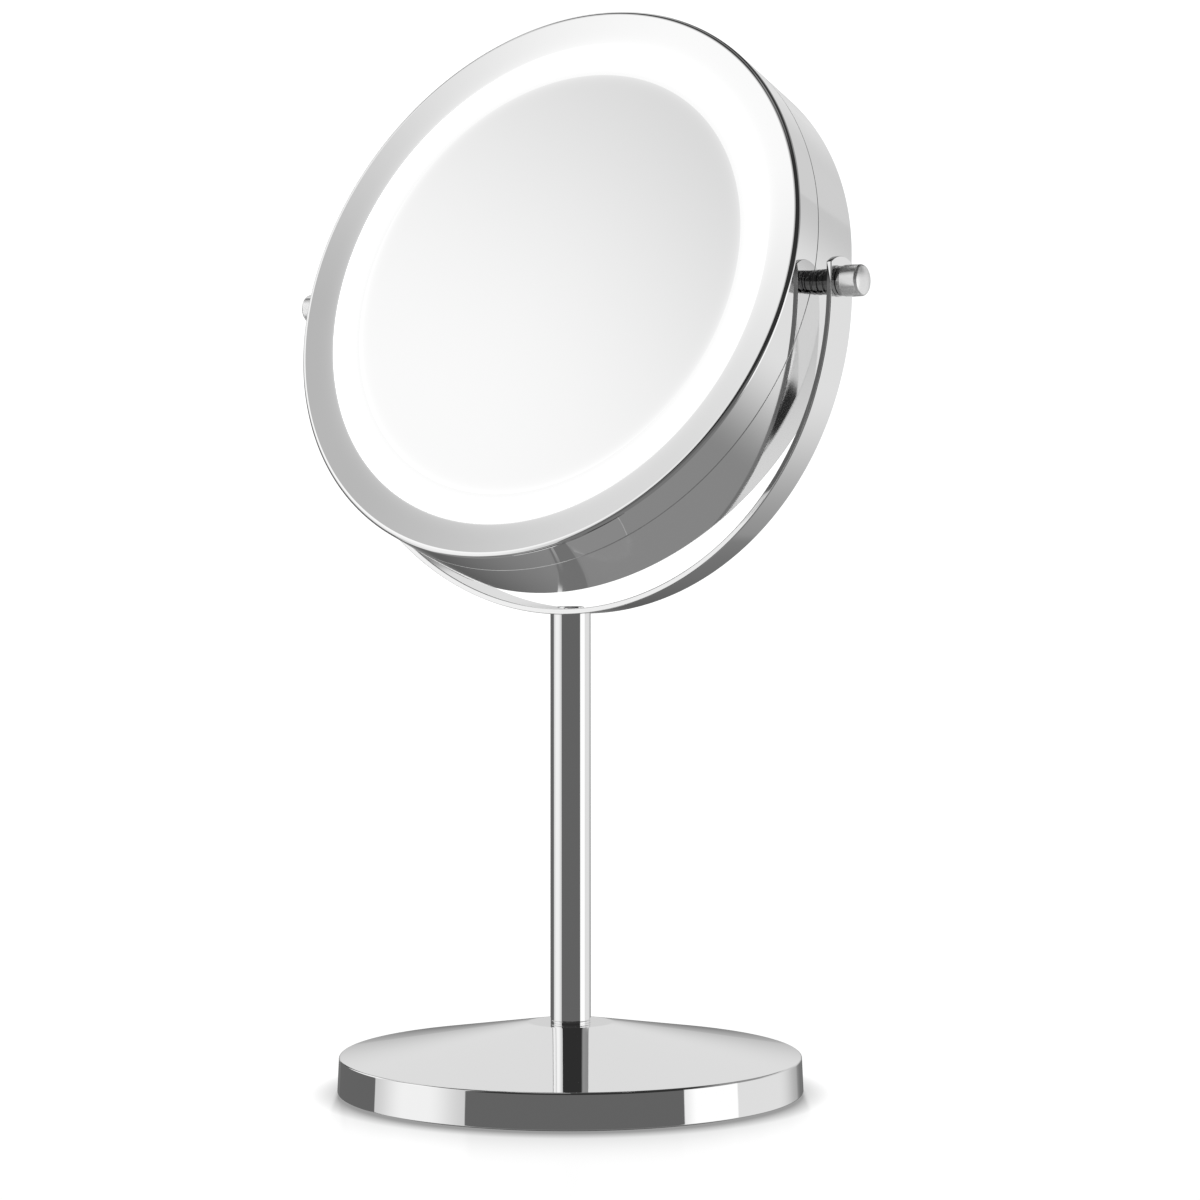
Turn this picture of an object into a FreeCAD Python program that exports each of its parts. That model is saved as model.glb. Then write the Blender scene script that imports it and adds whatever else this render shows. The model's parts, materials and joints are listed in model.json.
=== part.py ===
import FreeCAD, Part
import math
import os
from FreeCAD import Placement, Rotation, Vector

# Lighted vanity mirror on a stem: a round two-sided head turns in a U-shaped yoke.
# Frame: origin at the centre of the base's underside on the table, +Z up,
# +X through the switch knob, and the lit face looks towards -Y and upwards.
# All lengths are in millimetres and all angles in degrees.

# ---- driving dimensions -------------------------------------------------------
HEAD_R = 88.9            # outside radius of the round head, a 7 inch mirror
HEAD_TILT = 20.0         # how far the lit face leans back at rest
HEAD_DROP = 1.55         # head centre lies this far below the pivot axis
PIVOT_Z = 242.0          # height of the pivot axis above the table
FRONT_H = 16.8           # lit face's rim in front of the pivot plane
REAR_H = -15.6           # rear rim behind the pivot plane
SEAM_H = 5.1             # joint line between the bezel and the housing
SEAM_GAP = 0.24
RUN_GAP = 0.06           # radial clearance of a shaft in its hole
FREE_GAP = 0.3           # clearance between faces that move past each other
SEAT_GAP = 0.05          # clearance between parts that are stacked or slid together
FIT_GAP = 0.02           # clearance of parts that sit tight in one another

BASE_FOOT_R = 70.9
BASE_RIM_R = 70.4
BASE_RIM_Z = 11.1
BASE_TOP_R = 13.0        # flat disc that the stem stands on
BASE_TOP_Z = 21.0
BASE_WALL = 1.5
BASE_EDGE_Z = 0.5        # shell edge clears the table by this much
PAD_T = 1.25
PAD_INSET = 2.2          # pad's edge inside the shell's foot
WEIGHT_R = 66.0
WEIGHT_T = 6.0
WEIGHT_POCKET_R = 8.0    # pocket for the bolt's head and washer
WEIGHT_POCKET_T = 4.3
BOLT_R = 3.0             # M6 bolt through the base into the stem
BOLT_FLATS = 10.0
BOLT_HEAD_T = 3.0
BOLT_TOP_Z = 36.0
BOLT_HOLE_R = 3.2
WASHER_R = 7.0
WASHER_T = 1.0
SPACER_R = 6.5

STEM_R = 6.15
STEM_WALL = 1.0
STEM_RING_T = 0.7
INSERT_LOW_TOP_Z = 42.0  # threaded plugs in the two ends of the stem
INSERT_HIGH_FOOT_Z = 130.0

YOKE_IN_R = 93.75
YOKE_T = 1.7
YOKE_W = 12.0
YOKE_CENTRE_Z = 240.75   # centre of the yoke's half circle
YOKE_TOP_RISE = 7.25     # top of each arm above the pivot axis
YOKE_TOP_ARC_R = 10.1
YOKE_EDGE_R = 0.3        # rounding of the strip's long edges
BUSH_R = 3.3             # hole for the nylon bush in each arm
TOP_SCREW_R = 2.0        # M4 screw that holds the yoke on the stem
TOP_SCREW_HEAD_R = 4.1
TOP_SCREW_HEAD_T = 0.55
TOP_SCREW_LENGTH = 13.0

SHAFT_R = 3.75           # thick part of the pivot shaft, between head and yoke
SHAFT_GROOVE_R = 3.3     # groove half way between head and yoke
SHAFT_GROOVE_W = 0.3
NECK_R = 2.5             # thin ends, through the housing wall and the yoke
COLLAR_R = 4.4
KNOB_R = 4.6
KNOB_IN_X = 96.75
KNOB_OUT_X = 103.2
SPINDLE_R = 1.2
KNOB_DOME_R = 13.6
SHAFT_TIP_X = 100.4
SHAFT_ROOT_X = 80.9
SPINDLE_ROOT_X = 71.5
SPINDLE_TIP_X = 102.0
NUT_FLATS = 8.0
NUT_T = 2.62
SPRING_T = 0.75          # room for the spring washer beside each yoke arm

OPENING_R = 77.9         # inside edge of the bezel's sloping chrome face
RING_IN_R = 68.3         # inside edge of the lit ring
GLASS_H = 14.4           # front face of the mirror and the lit ring
GLASS_T = 2.0
LIP_R = 87.4             # where the lip ends and the bezel's face starts
LIP_EDGE_R = 1.3         # rounding of the bezel's outer edge
FACE_DROP = 1.7          # how far the bezel's face slopes in
RING_OUT_R = 83.6
LED_COUNT = 24
LED_RING_R = 75.8

MAGNIFIER_R = 82.0
MAGNIFIER_CURVE_R = 640.0
MAGNIFIER_EDGE_H = -14.2
MAGNIFIER_T = 1.8

CELL_R = 5.25            # AAA cell
CELL_L = 43.3
CELL_PITCH = 11.2
CELL_COUNT = 4
POLE_R = 1.9
POLE_T = 1.1
CONTACT_T = 0.4

BOSS_PLACE_R = 81.5      # four bosses that hold the inner frame
INNER_BOSS_PLACE_R = 58.0
BOSS_R = 4.0
INNER_BOSS_R = 3.5
PILOT_R = 1.25           # screw holes in the bosses
PANEL_HOLE_R = 1.6
PANEL_SCREW_R = 1.2
PANEL_HEAD_R = 2.6
PANEL_HEAD_T = 1.4
WIRE_R = 0.7
WIRE_HOLE_R = 72.0       # where the wires pass up into the light tray
WIRE_HOLE_ANGLE = 80.0
LUG_COUNT = 3            # bayonet lugs of the rear cover
LUG_LOW_H = -10.8
LUG_TOP_H = -9.6

# ---- values worked out from them ----------------------------------------------
YOKE_OUT_R = YOKE_IN_R + YOKE_T
YOKE_FLOOR_Z = YOKE_CENTRE_Z - YOKE_IN_R
YOKE_UNDER_Z = YOKE_CENTRE_Z - YOKE_OUT_R
STEM_FOOT_Z = BASE_TOP_Z + STEM_RING_T
HOUSING_WALL = 2.0
HOUSING_IN_R = HEAD_R - HOUSING_WALL
HOUSING_TOP_H = SEAM_H - SEAM_GAP / 2
BEZEL_LOW_H = SEAM_H + SEAM_GAP / 2
FLANGE_H = GLASS_H + 0.1  # underside of the bezel's face
TRAY_FLOOR_H = 5.35
TRAY_TOP_H = GLASS_H - GLASS_T - 0.1
PLATE_LOW_H = 10.0        # centre plate of the light tray
PLATE_TOP_H = 11.3
BOARD_T = 1.2
FRAME_LOW_H = -5.0
FRAME_TOP_H = -3.4
BATTERY_FLOOR_H = 6.6
BATTERY_HALF_X = CELL_PITCH * CELL_COUNT / 2 + 1.6
BATTERY_HALF_Y = 28.0
PAD_FACE_X = 83.9         # inside face of the housing's pivot pads
SHELF_IN_R = 83.2         # ledge in the housing that the inner frame rests against
SHELF_TOP_H = -1.4
WEIGHT_FOOT_Z = PAD_T + SEAT_GAP
BOLT_SEAT_Z = WEIGHT_FOOT_Z + WEIGHT_POCKET_T


# ---- helpers --------------------------------------------------------------------
def corner_arc(before, corner, after, radius):
    """Tangent points and midpoint of the arc that rounds a corner."""
    back = (before - corner).normalize()
    ahead = (after - corner).normalize()
    half = back.getAngle(ahead) / 2
    reach = radius / math.tan(half)
    bisector = (back + ahead).normalize()
    middle = corner + bisector * (radius / math.sin(half) - radius)
    return corner + back * reach, middle, corner + ahead * reach


def rounded_edges(points, radii, closed):
    """Straight runs joined by tangent arcs; a radius of 0 keeps the corner sharp."""
    count = len(points)
    edges = []
    starts = []
    ends = []
    for i in range(count):
        at_end = not closed and i in (0, count - 1)
        if radii[i] == 0 or at_end:
            starts.append(points[i])
            ends.append(points[i])
            continue
        first, middle, last = corner_arc(
            points[i - 1], points[i], points[(i + 1) % count], radii[i]
        )
        starts.append(first)
        ends.append(last)
        edges.append(Part.Arc(first, middle, last).toShape())
    for i in range(count if closed else count - 1):
        ahead = starts[(i + 1) % count]
        if ends[i].distanceToPoint(ahead) > 1e-6:
            edges.append(Part.LineSegment(ends[i], ahead).toShape())
    return Part.Wire(Part.__sortEdges__(edges))


def turned(*profile):
    """A body turned about the Z axis from (radius, height[, corner radius]) points."""
    points = [Vector(p[0], 0, p[1]) for p in profile]
    radii = [p[2] if len(p) > 2 else 0 for p in profile]
    face = Part.Face(rounded_edges(points, radii, True))
    return face.revolve(Vector(0, 0, 0), Vector(0, 0, 1), 360)


def rod(radius, low, high, at=(0, 0)):
    """A round bar along Z."""
    return Part.makeCylinder(radius, high - low, Vector(at[0], at[1], low))


def tube(outer, inner, low, high, at=(0, 0)):
    return rod(outer, low, high, at).cut(rod(inner, low - 1, high + 1, at))


def block(low, high):
    size = Vector(*high) - Vector(*low)
    return Part.makeBox(size.x, size.y, size.z, Vector(*low))


def hexagon(across_flats, low, high, at=(0, 0)):
    radius = across_flats / math.sqrt(3)
    turns = [math.radians(60 * i) for i in range(7)]
    corners = [Vector(at[0] + radius * math.cos(t), at[1] + radius * math.sin(t), low) for t in turns]
    return Part.Face(Part.makePolygon(corners)).extrude(Vector(0, 0, high - low))


def around(shape, count, first=0.0):
    """Copies of a shape, evenly spaced about the Z axis."""
    copies = []
    for i in range(count):
        one = shape.copy()
        one.rotate(Vector(0, 0, 0), Vector(0, 0, 1), first + 360.0 * i / count)
        copies.append(one)
    return copies


def along_x(shape, side):
    """Lays a body built about +Z along +X, or along -X for side -1."""
    laid = shape.copy()
    laid.rotate(Vector(0, 0, 0), Vector(0, 1, 0), 90 * side)
    return laid


def in_drum(shape):
    """Moves a body built about the drum's centre to its place below the pivot axis."""
    moved = shape.copy()
    moved.translate(Vector(0, -HEAD_DROP, 0))
    return moved


def in_head(shape):
    """Head coordinates (across, up the face, out of the lit face) to the object's frame."""
    placed = shape.copy()
    lean = Rotation(Vector(1, 0, 0), 90 - HEAD_TILT)
    placed.Placement = Placement(Vector(0, 0, PIVOT_Z), lean).multiply(placed.Placement)
    return placed


def wire_run(points, radius):
    """An insulated wire: straight runs joined by wide bends."""
    path_points = [Vector(*p) for p in points]
    bends = []
    for i in range(1, len(points) - 1):
        back = path_points[i - 1] - path_points[i]
        ahead = path_points[i + 1] - path_points[i]
        half_turn = (math.pi - back.getAngle(ahead)) / 2
        bends.append(0.45 * min(back.Length, ahead.Length) / math.tan(half_turn))
    path = rounded_edges(path_points, [0] + bends + [0], False)
    section = Part.Wire(Part.makeCircle(radius, path_points[0], path_points[1] - path_points[0]))
    return path.makePipeShell([section], True, False)


def cross_slot(shape, head_r, top, depth, width=0.9):
    """Cuts a cross recess into the top of a screw head."""
    reach = head_r * 0.62
    for turn in (0, 90):
        arm = block((-reach, -width / 2, top - depth), (reach, width / 2, top + 1))
        arm.rotate(Vector(0, 0, 0), Vector(0, 0, 1), turn)
        shape = shape.cut(arm)
    return shape


def shank(radius, length):
    return turned((0, 0), (0, -length), (radius * 0.6, -length), (radius, -length + radius), (radius, 0))


def round_head_screw(head_r, head_t, shank_r, length):
    """A pan-head screw pointing down, with the head's seat at height 0."""
    head = turned((0, 0), (head_r, 0), (head_r, head_t, head_t * 0.7), (0, head_t))
    return cross_slot(head, head_r, head_t, head_t * 0.5).fuse(shank(shank_r, length)).removeSplitter()


# ---- stand ------------------------------------------------------------------------
def base_pad():
    return rod(BASE_FOOT_R - PAD_INSET, 0, PAD_T)


def base_shell():
    top_slope = (BASE_TOP_Z - BASE_RIM_Z) / (BASE_RIM_R - BASE_TOP_R)
    roof_z = BASE_TOP_Z - BASE_WALL
    inner_r = BASE_RIM_R - BASE_WALL
    inner_rim_z = roof_z - top_slope * (inner_r - BASE_TOP_R)
    return turned(
        (BOLT_HOLE_R, BASE_TOP_Z),
        (BASE_TOP_R, BASE_TOP_Z),
        (BASE_RIM_R, BASE_RIM_Z, 0.4),
        (BASE_FOOT_R, BASE_EDGE_Z, 0.3),
        (BASE_FOOT_R - BASE_WALL, BASE_EDGE_Z),
        (inner_r, inner_rim_z),
        (BASE_TOP_R, roof_z),
        (BOLT_HOLE_R, roof_z),
    )


def base_weight():
    bore = BOLT_HOLE_R + 0.2
    top = WEIGHT_FOOT_Z + WEIGHT_T
    return turned(
        (bore, top),
        (WEIGHT_R, top, 1.0),
        (WEIGHT_R, WEIGHT_FOOT_Z, 0.5),
        (WEIGHT_POCKET_R, WEIGHT_FOOT_Z),
        (WEIGHT_POCKET_R, BOLT_SEAT_Z),
        (bore, BOLT_SEAT_Z),
    )


def base_washer():
    return tube(WASHER_R, BOLT_HOLE_R, BOLT_SEAT_Z - WASHER_T, BOLT_SEAT_Z - FIT_GAP)


def base_bolt():
    head_top = BOLT_SEAT_Z - WASHER_T - FIT_GAP
    head = hexagon(BOLT_FLATS, head_top - BOLT_HEAD_T, head_top)
    return head.fuse(rod(BOLT_R, head_top, BOLT_TOP_Z)).removeSplitter()


def base_spacer():
    foot = WEIGHT_FOOT_Z + WEIGHT_T + SEAT_GAP
    return tube(SPACER_R, BOLT_HOLE_R + 0.1, foot, BASE_TOP_Z - BASE_WALL - SEAT_GAP)


def stem_foot_ring():
    low = BASE_TOP_Z + FIT_GAP
    high = STEM_FOOT_Z - FIT_GAP
    return turned((BOLT_R + 0.1, low), (STEM_R, low), (STEM_R, high, 0.1), (BOLT_R + 0.1, high))


def yoke_underside():
    """The round underside of the yoke, as a cutting body for what stands below it."""
    depth = 40
    start = Vector(0, -depth / 2, YOKE_CENTRE_Z)
    return Part.makeCylinder(YOKE_OUT_R + FIT_GAP, depth, start, Vector(0, 1, 0))


def stem_tube():
    inner = STEM_R - STEM_WALL
    high = YOKE_UNDER_Z + 2
    body = turned((inner, STEM_FOOT_Z), (STEM_R, STEM_FOOT_Z, 0.1), (STEM_R, high), (inner, high))
    return body.cut(yoke_underside())


def stem_insert(low, high, bore):
    """A threaded plug pressed into one end of the stem."""
    return tube(STEM_R - STEM_WALL - FIT_GAP, bore, low, high)


def yoke_outline():
    """Front view of the U strip: two half circles joined by straight arms."""
    top = PIVOT_Z + YOKE_TOP_RISE
    edges = []
    for radius in (YOKE_OUT_R, YOKE_IN_R):
        left = Vector(-radius, 0, YOKE_CENTRE_Z)
        right = Vector(radius, 0, YOKE_CENTRE_Z)
        edges.append(Part.Arc(left, Vector(0, 0, YOKE_CENTRE_Z - radius), right).toShape())
    for side in (-1, 1):
        outer = side * YOKE_OUT_R
        inner = side * YOKE_IN_R
        corners = [Vector(outer, 0, YOKE_CENTRE_Z), Vector(outer, 0, top)]
        corners += [Vector(inner, 0, top), Vector(inner, 0, YOKE_CENTRE_Z)]
        for start, end in zip(corners, corners[1:]):
            edges.append(Part.LineSegment(start, end).toShape())
    return Part.Wire(Part.__sortEdges__(edges))


def yoke():
    crown_z = PIVOT_Z + YOKE_TOP_RISE - YOKE_TOP_ARC_R
    reach = 2 * YOKE_OUT_R
    strip = Part.Face(yoke_outline()).extrude(Vector(0, YOKE_W, 0))
    strip.translate(Vector(0, -YOKE_W / 2, 0))
    crown = Part.makeCylinder(YOKE_TOP_ARC_R, 2 * reach, Vector(-reach, 0, crown_z), Vector(1, 0, 0))
    below = block((-reach, -YOKE_W, 0), (reach, YOKE_W, crown_z))
    strip = strip.common(crown.fuse(below).removeSplitter())
    half = YOKE_W / 2
    long_edges = [e for e in strip.Edges if e.Length > 30 and abs(abs(e.CenterOfMass.y) - half) < 0.01]
    strip = strip.makeFillet(YOKE_EDGE_R, long_edges)
    for side in (-1, 1):
        hole = along_x(rod(BUSH_R, YOKE_IN_R - 5, YOKE_OUT_R + 5), side)
        hole.translate(Vector(0, 0, PIVOT_Z))
        strip = strip.cut(hole)
    return strip.cut(rod(TOP_SCREW_R + 0.1, YOKE_UNDER_Z - 2, YOKE_FLOOR_Z + 2))


def yoke_screw():
    """A screw with a thin flat head, seated inside the bottom of the yoke."""
    head_r = TOP_SCREW_HEAD_R
    head_t = TOP_SCREW_HEAD_T
    head = turned((0, 0), (head_r, 0), (head_r, head_t, head_t * 0.6), (0, head_t))
    head = cross_slot(head, head_r, head_t, 0.3)
    screw = head.fuse(shank(TOP_SCREW_R, TOP_SCREW_LENGTH)).removeSplitter()
    screw.translate(Vector(0, 0, YOKE_FLOOR_Z + 0.12))
    return screw


def pivot_bush(side):
    """Nylon bearing pressed into the hole of one yoke arm."""
    bush = tube(BUSH_R - FIT_GAP, NECK_R + RUN_GAP, YOKE_IN_R + FIT_GAP, YOKE_OUT_R - FIT_GAP)
    bush = along_x(bush, side)
    bush.translate(Vector(0, 0, PIVOT_Z))
    return bush


# ---- head: shells -----------------------------------------------------------------
def pivot_notch(reach):
    """Room for a pivot's nut and switch, from `reach` outwards, on the drum's own centre."""
    return block((reach, HEAD_DROP - 8, -9), (HEAD_R + 5, HEAD_DROP + 8, TRAY_FLOOR_H - 0.1))


def mirror_x(shape):
    return shape.mirror(Vector(0, 0, 0), Vector(1, 0, 0))


def sector(radius, low, high, angle):
    """A wedge of a disc that starts on the +X axis, to cut lugs from a ring."""
    return Part.makeCylinder(radius, high - low, Vector(0, 0, low), Vector(0, 0, 1), angle)


def housing():
    wall = turned(
        (HOUSING_IN_R, HOUSING_TOP_H),
        (HEAD_R, HOUSING_TOP_H, 0.15),
        (HEAD_R, REAR_H, 0.7),
        (HOUSING_IN_R, REAR_H),
    )
    shelf_low = FRAME_TOP_H + SEAT_GAP
    inside = HOUSING_IN_R + 0.5
    body = wall.fuse(tube(inside, SHELF_IN_R, shelf_low, SHELF_TOP_H))
    for lug in around(rod(BOSS_R, shelf_low, SHELF_TOP_H + 3, (BOSS_PLACE_R, 0)), 4, 45):
        body = body.fuse(lug)
    for pilot in around(rod(PILOT_R, -6, SHELF_TOP_H + 4, (BOSS_PLACE_R, 0)), 4, 45):
        body = body.cut(pilot)
    tab = tube(inside, 84.8, -12.4, -11.2).common(sector(HEAD_R, -13.5, -9.5, 34))
    for piece in around(tab, LUG_COUNT, 16):
        body = body.fuse(piece)
    notch = pivot_notch(79)
    room = notch.common(rod(HOUSING_IN_R, -20, 20))
    body = body.cut(room).cut(mirror_x(room))
    pad = block((PAD_FACE_X, HEAD_DROP - 6, -6), (HOUSING_IN_R + 0.8, HEAD_DROP + 6, 4.8))
    body = body.fuse(pad).fuse(mirror_x(pad))
    for side in (-1, 1):
        hole = along_x(rod(NECK_R + 0.03, SHAFT_ROOT_X, HEAD_R + 5), side)
        hole.translate(Vector(0, HEAD_DROP, 0))
        body = body.cut(hole)
    return in_head(in_drum(body.removeSplitter()))


def front_bezel():
    """Chrome front ring: a rounded lip and a face that slopes in to the lit ring."""
    spigot_r = HOUSING_IN_R - 0.3
    skirt_r = 85.2
    skirt_low_h = 2.4
    body = turned(
        (HEAD_R, BEZEL_LOW_H, 0.15),
        (HEAD_R, FRONT_H, LIP_EDGE_R),
        (LIP_R, FRONT_H, 0.3),
        (OPENING_R, FRONT_H - FACE_DROP, 0.2),
        (OPENING_R, FLANGE_H),
        (86.0, FLANGE_H),
        (86.0, 7.0),
        (skirt_r, 6.2),
        (skirt_r, skirt_low_h),
        (spigot_r, skirt_low_h),
        (spigot_r, BEZEL_LOW_H),
    )
    room = pivot_notch(79).common(rod(88, -20, BEZEL_LOW_H - SEAT_GAP))
    return in_head(in_drum(body.cut(room).cut(mirror_x(room))))


def inner_frame():
    """Black plate across the housing that carries the battery tray and the switch."""
    plate = rod(HOUSING_IN_R - FREE_GAP, FRAME_LOW_H, FRAME_TOP_H)
    window_x = BATTERY_HALF_X + 0.3
    window_y = BATTERY_HALF_Y + 0.3
    plate = plate.cut(block((-window_x, -window_y, -9), (window_x, window_y, 0)))
    plate = plate.cut(pivot_notch(66)).cut(mirror_x(pivot_notch(79)))
    for place_r in (BOSS_PLACE_R, INNER_BOSS_PLACE_R):
        for hole in around(rod(PANEL_HOLE_R, -9, 0, (place_r, 0)), 4, 45):
            plate = plate.cut(hole)
    rib_t = 1.6
    for rib in around(block((40, -rib_t / 2, FRAME_TOP_H - 0.1), (74, rib_t / 2, FRAME_TOP_H + 2.5)), 8, 22.5):
        plate = plate.fuse(rib)
    return in_head(in_drum(plate.removeSplitter()))


def panel_screws(radius, length):
    """Four screws set from the rear, heads towards the magnifying side."""
    one = round_head_screw(PANEL_HEAD_R, PANEL_HEAD_T, PANEL_SCREW_R, length)
    one.rotate(Vector(0, 0, 0), Vector(1, 0, 0), 180)
    one.translate(Vector(radius, 0, FRAME_LOW_H - FIT_GAP))
    return in_head(in_drum(Part.makeCompound(around(one, 4, 45))))


# ---- head: lit side ---------------------------------------------------------------
def centre_mirror():
    edge = RING_IN_R - 0.12
    low = GLASS_H - GLASS_T
    return in_head(in_drum(turned((0, GLASS_H), (edge, GLASS_H, 0.15), (edge, low), (0, low))))


def mirror_pad():
    return in_head(in_drum(rod(RING_IN_R - 2, PLATE_TOP_H + FIT_GAP, GLASS_H - GLASS_T - FIT_GAP)))


def light_ring():
    """Opal ring that spreads the light; the bezel covers its outside edge."""
    low = GLASS_H - GLASS_T
    ring = turned((RING_IN_R, GLASS_H, 0.1), (RING_OUT_R, GLASS_H), (RING_OUT_R, low), (RING_IN_R, low))
    return in_head(in_drum(ring))


def light_tray():
    """White tray: a centre plate behind the mirror and a channel round it for the lamps."""
    wall_r = RING_IN_R - 2.1
    channel_in_r = 69.2
    channel_out_r = 82.4
    channel_h = TRAY_FLOOR_H + 1.2
    body = turned(
        (0, PLATE_TOP_H),
        (wall_r + 0.4, PLATE_TOP_H),
        (wall_r + 0.4, TRAY_TOP_H),
        (channel_in_r, TRAY_TOP_H),
        (channel_in_r, channel_h),
        (channel_out_r, channel_h),
        (channel_out_r, TRAY_TOP_H),
        (84.6, TRAY_TOP_H),
        (84.6, TRAY_FLOOR_H),
        (wall_r, TRAY_FLOOR_H),
        (wall_r, PLATE_LOW_H),
        (0, PLATE_LOW_H),
    )
    boss = rod(INNER_BOSS_R, FRAME_TOP_H + SEAT_GAP, PLATE_LOW_H + 0.5, (INNER_BOSS_PLACE_R, 0))
    pilot = rod(PILOT_R, FRAME_TOP_H - 1, 6, (INNER_BOSS_PLACE_R, 0))
    for copy in around(boss, 4, 45):
        body = body.fuse(copy)
    for copy in around(pilot, 4, 45):
        body = body.cut(copy)
    for wire_hole in around(rod(1.2, TRAY_FLOOR_H - 1, TRAY_FLOOR_H + 3, (WIRE_HOLE_R, 0)), 2, WIRE_HOLE_ANGLE):
        body = body.cut(wire_hole)
    return in_head(in_drum(body.removeSplitter()))


def led_board():
    low = TRAY_FLOOR_H + 1.25
    return in_head(in_drum(tube(81.8, 70.6, low, low + BOARD_T)))


def leds():
    """Surface lamps: a square body with a low round lens."""
    low = TRAY_FLOOR_H + 1.3 + BOARD_T
    body_t = 0.7
    body = block((LED_RING_R - 1.4, -1.75, low), (LED_RING_R + 1.4, 1.75, low + body_t))
    lens_foot = low + body_t - 0.1
    lens_r = 1.2
    lens = turned((0, lens_foot), (lens_r, lens_foot), (lens_r, lens_foot + 0.3, 0.2), (0, lens_foot + 0.3))
    lens.translate(Vector(LED_RING_R, 0, 0))
    return in_head(in_drum(Part.makeCompound(around(body.fuse(lens), LED_COUNT, 7.5))))


# ---- head: power ------------------------------------------------------------------
def cell_places():
    """Across position and pole direction of each cell; neighbours lie head to tail."""
    for i in range(CELL_COUNT):
        yield (i - (CELL_COUNT - 1) / 2) * CELL_PITCH, 1 if i % 2 == 0 else -1


def battery_tray():
    low = FRAME_LOW_H - 0.2
    wall = 1.2
    shell = block((-BATTERY_HALF_X, -BATTERY_HALF_Y, low), (BATTERY_HALF_X, BATTERY_HALF_Y, BATTERY_FLOOR_H))
    hollow = block(
        (wall - BATTERY_HALF_X, wall - BATTERY_HALF_Y, low - 1),
        (BATTERY_HALF_X - wall, BATTERY_HALF_Y - wall, BATTERY_FLOOR_H - wall),
    )
    body = shell.cut(hollow)
    for gap in range(1, CELL_COUNT):
        x = (gap - CELL_COUNT / 2) * CELL_PITCH
        rib = block((x - 0.3, -16, 2.0), (x + 0.3, 16, BATTERY_FLOOR_H - 1.0))
        body = body.fuse(rib)
    return in_head(in_drum(body.removeSplitter()))


def batteries():
    cells = []
    for x, way in cell_places():
        cell = turned(
            (0, -CELL_L / 2),
            (CELL_R, -CELL_L / 2, 0.5),
            (CELL_R, CELL_L / 2, 0.7),
            (POLE_R, CELL_L / 2),
            (POLE_R, CELL_L / 2 + POLE_T, 0.2),
            (0, CELL_L / 2 + POLE_T),
        )
        cell.rotate(Vector(0, 0, 0), Vector(1, 0, 0), -90 * way)
        cell.translate(Vector(x, -0.3 * way, 0))
        cells.append(cell)
    return in_head(in_drum(Part.makeCompound(cells)))


def plus_plate(x, wall):
    """A flat plate against the tray's wall with a round dimple for the cell's pole."""
    face = wall - CONTACT_T
    dimple_y = CELL_L / 2 + POLE_T - 0.25
    plate = block((x - 4, face, -4), (x + 4, wall, 4))
    dimple = Part.makeCylinder(2.0, face - dimple_y, Vector(x, dimple_y, 0), Vector(0, 1, 0))
    return plate.fuse(dimple).removeSplitter()


def leaf_spring(x, wall):
    """A closed bow of strip whose crest presses on the cell's flat end."""
    face = wall - CONTACT_T
    crest_y = CELL_L / 2 + 0.35
    half_width = 2.5
    outer = [(wall, -4.2), (wall, 4.2), (face, 4.2), (crest_y, 1.0), (crest_y, -1.0), (face, -4.2)]
    inner = [(face, -3.4), (face, 3.4), (crest_y + CONTACT_T, 0.7), (crest_y + CONTACT_T, -0.7)]
    shapes = []
    for outline in (outer, inner):
        points = [Vector(x - half_width, y, z) for y, z in outline + outline[:1]]
        shapes.append(Part.Face(Part.makePolygon(points)).extrude(Vector(2 * half_width, 0, 0)))
    return shapes[0].cut(shapes[1])


def battery_contacts():
    """A plate at each plus pole and a bowed leaf spring at each minus pole."""
    wall = BATTERY_HALF_Y - 1.25
    pieces = []
    for x, way in cell_places():
        plate = plus_plate(x, wall)
        leaf = leaf_spring(x, wall)
        if way > 0:
            leaf = leaf.mirror(Vector(0, 0, 0), Vector(0, 1, 0))
        else:
            plate = plate.mirror(Vector(0, 0, 0), Vector(0, 1, 0))
        pieces += [plate, leaf]
    return in_head(in_drum(Part.makeCompound(pieces)))


def wires():
    """Insulated wires from the battery tray to the switch and the lamp board."""
    angle = math.radians(WIRE_HOLE_ANGLE)
    hole_x = WIRE_HOLE_R * math.cos(angle)
    hole_y = WIRE_HOLE_R * math.sin(angle)
    hole_h = TRAY_FLOOR_H + 1.2
    start_x = BATTERY_HALF_X + 0.8
    to_switch = [(start_x, -20, 1.5), (34, -20, 1.5), (44, -14, 2.2), (56, -6, 2.0), (67.2, -3, 1.5)]
    to_lamps = [(67.0, 5, 1.5), (58, 10, 2.0), (46, 24, 2.5), (30, 40, 2.2), (18, 56, 1.8)]
    to_lamps += [(hole_x, hole_y, 2.0), (hole_x, hole_y, hole_h)]
    from_cells = [(-hole_x, -hole_y, hole_h), (-hole_x, -hole_y, 2.0), (-19, -56, 1.8), (-27, -42, 2.0)]
    from_cells += [(-20, -BATTERY_HALF_Y - 0.8, 2.2)]
    return [in_head(in_drum(wire_run(route, WIRE_R))) for route in (to_switch, to_lamps, from_cells)]


def switch_body():
    """Small rotary switch behind the right-hand pivot."""
    root_x = 67.6
    face_x = 79.6
    case = block((root_x, HEAD_DROP - 6, -4.6), (face_x, HEAD_DROP + 6, 4.6))
    nose = along_x(rod(3.4, face_x - 0.6, face_x + 1.0), 1)
    bore = along_x(rod(SPINDLE_R + RUN_GAP, SPINDLE_ROOT_X - 0.5, face_x + 2), 1)
    for shape in (nose, bore):
        shape.translate(Vector(0, HEAD_DROP, 0))
    return in_head(in_drum(case.fuse(nose).cut(bore).removeSplitter()))


# ---- pivots and knobs ---------------------------------------------------------------
def on_pivot(shape, side):
    return in_head(along_x(shape, side))


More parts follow.
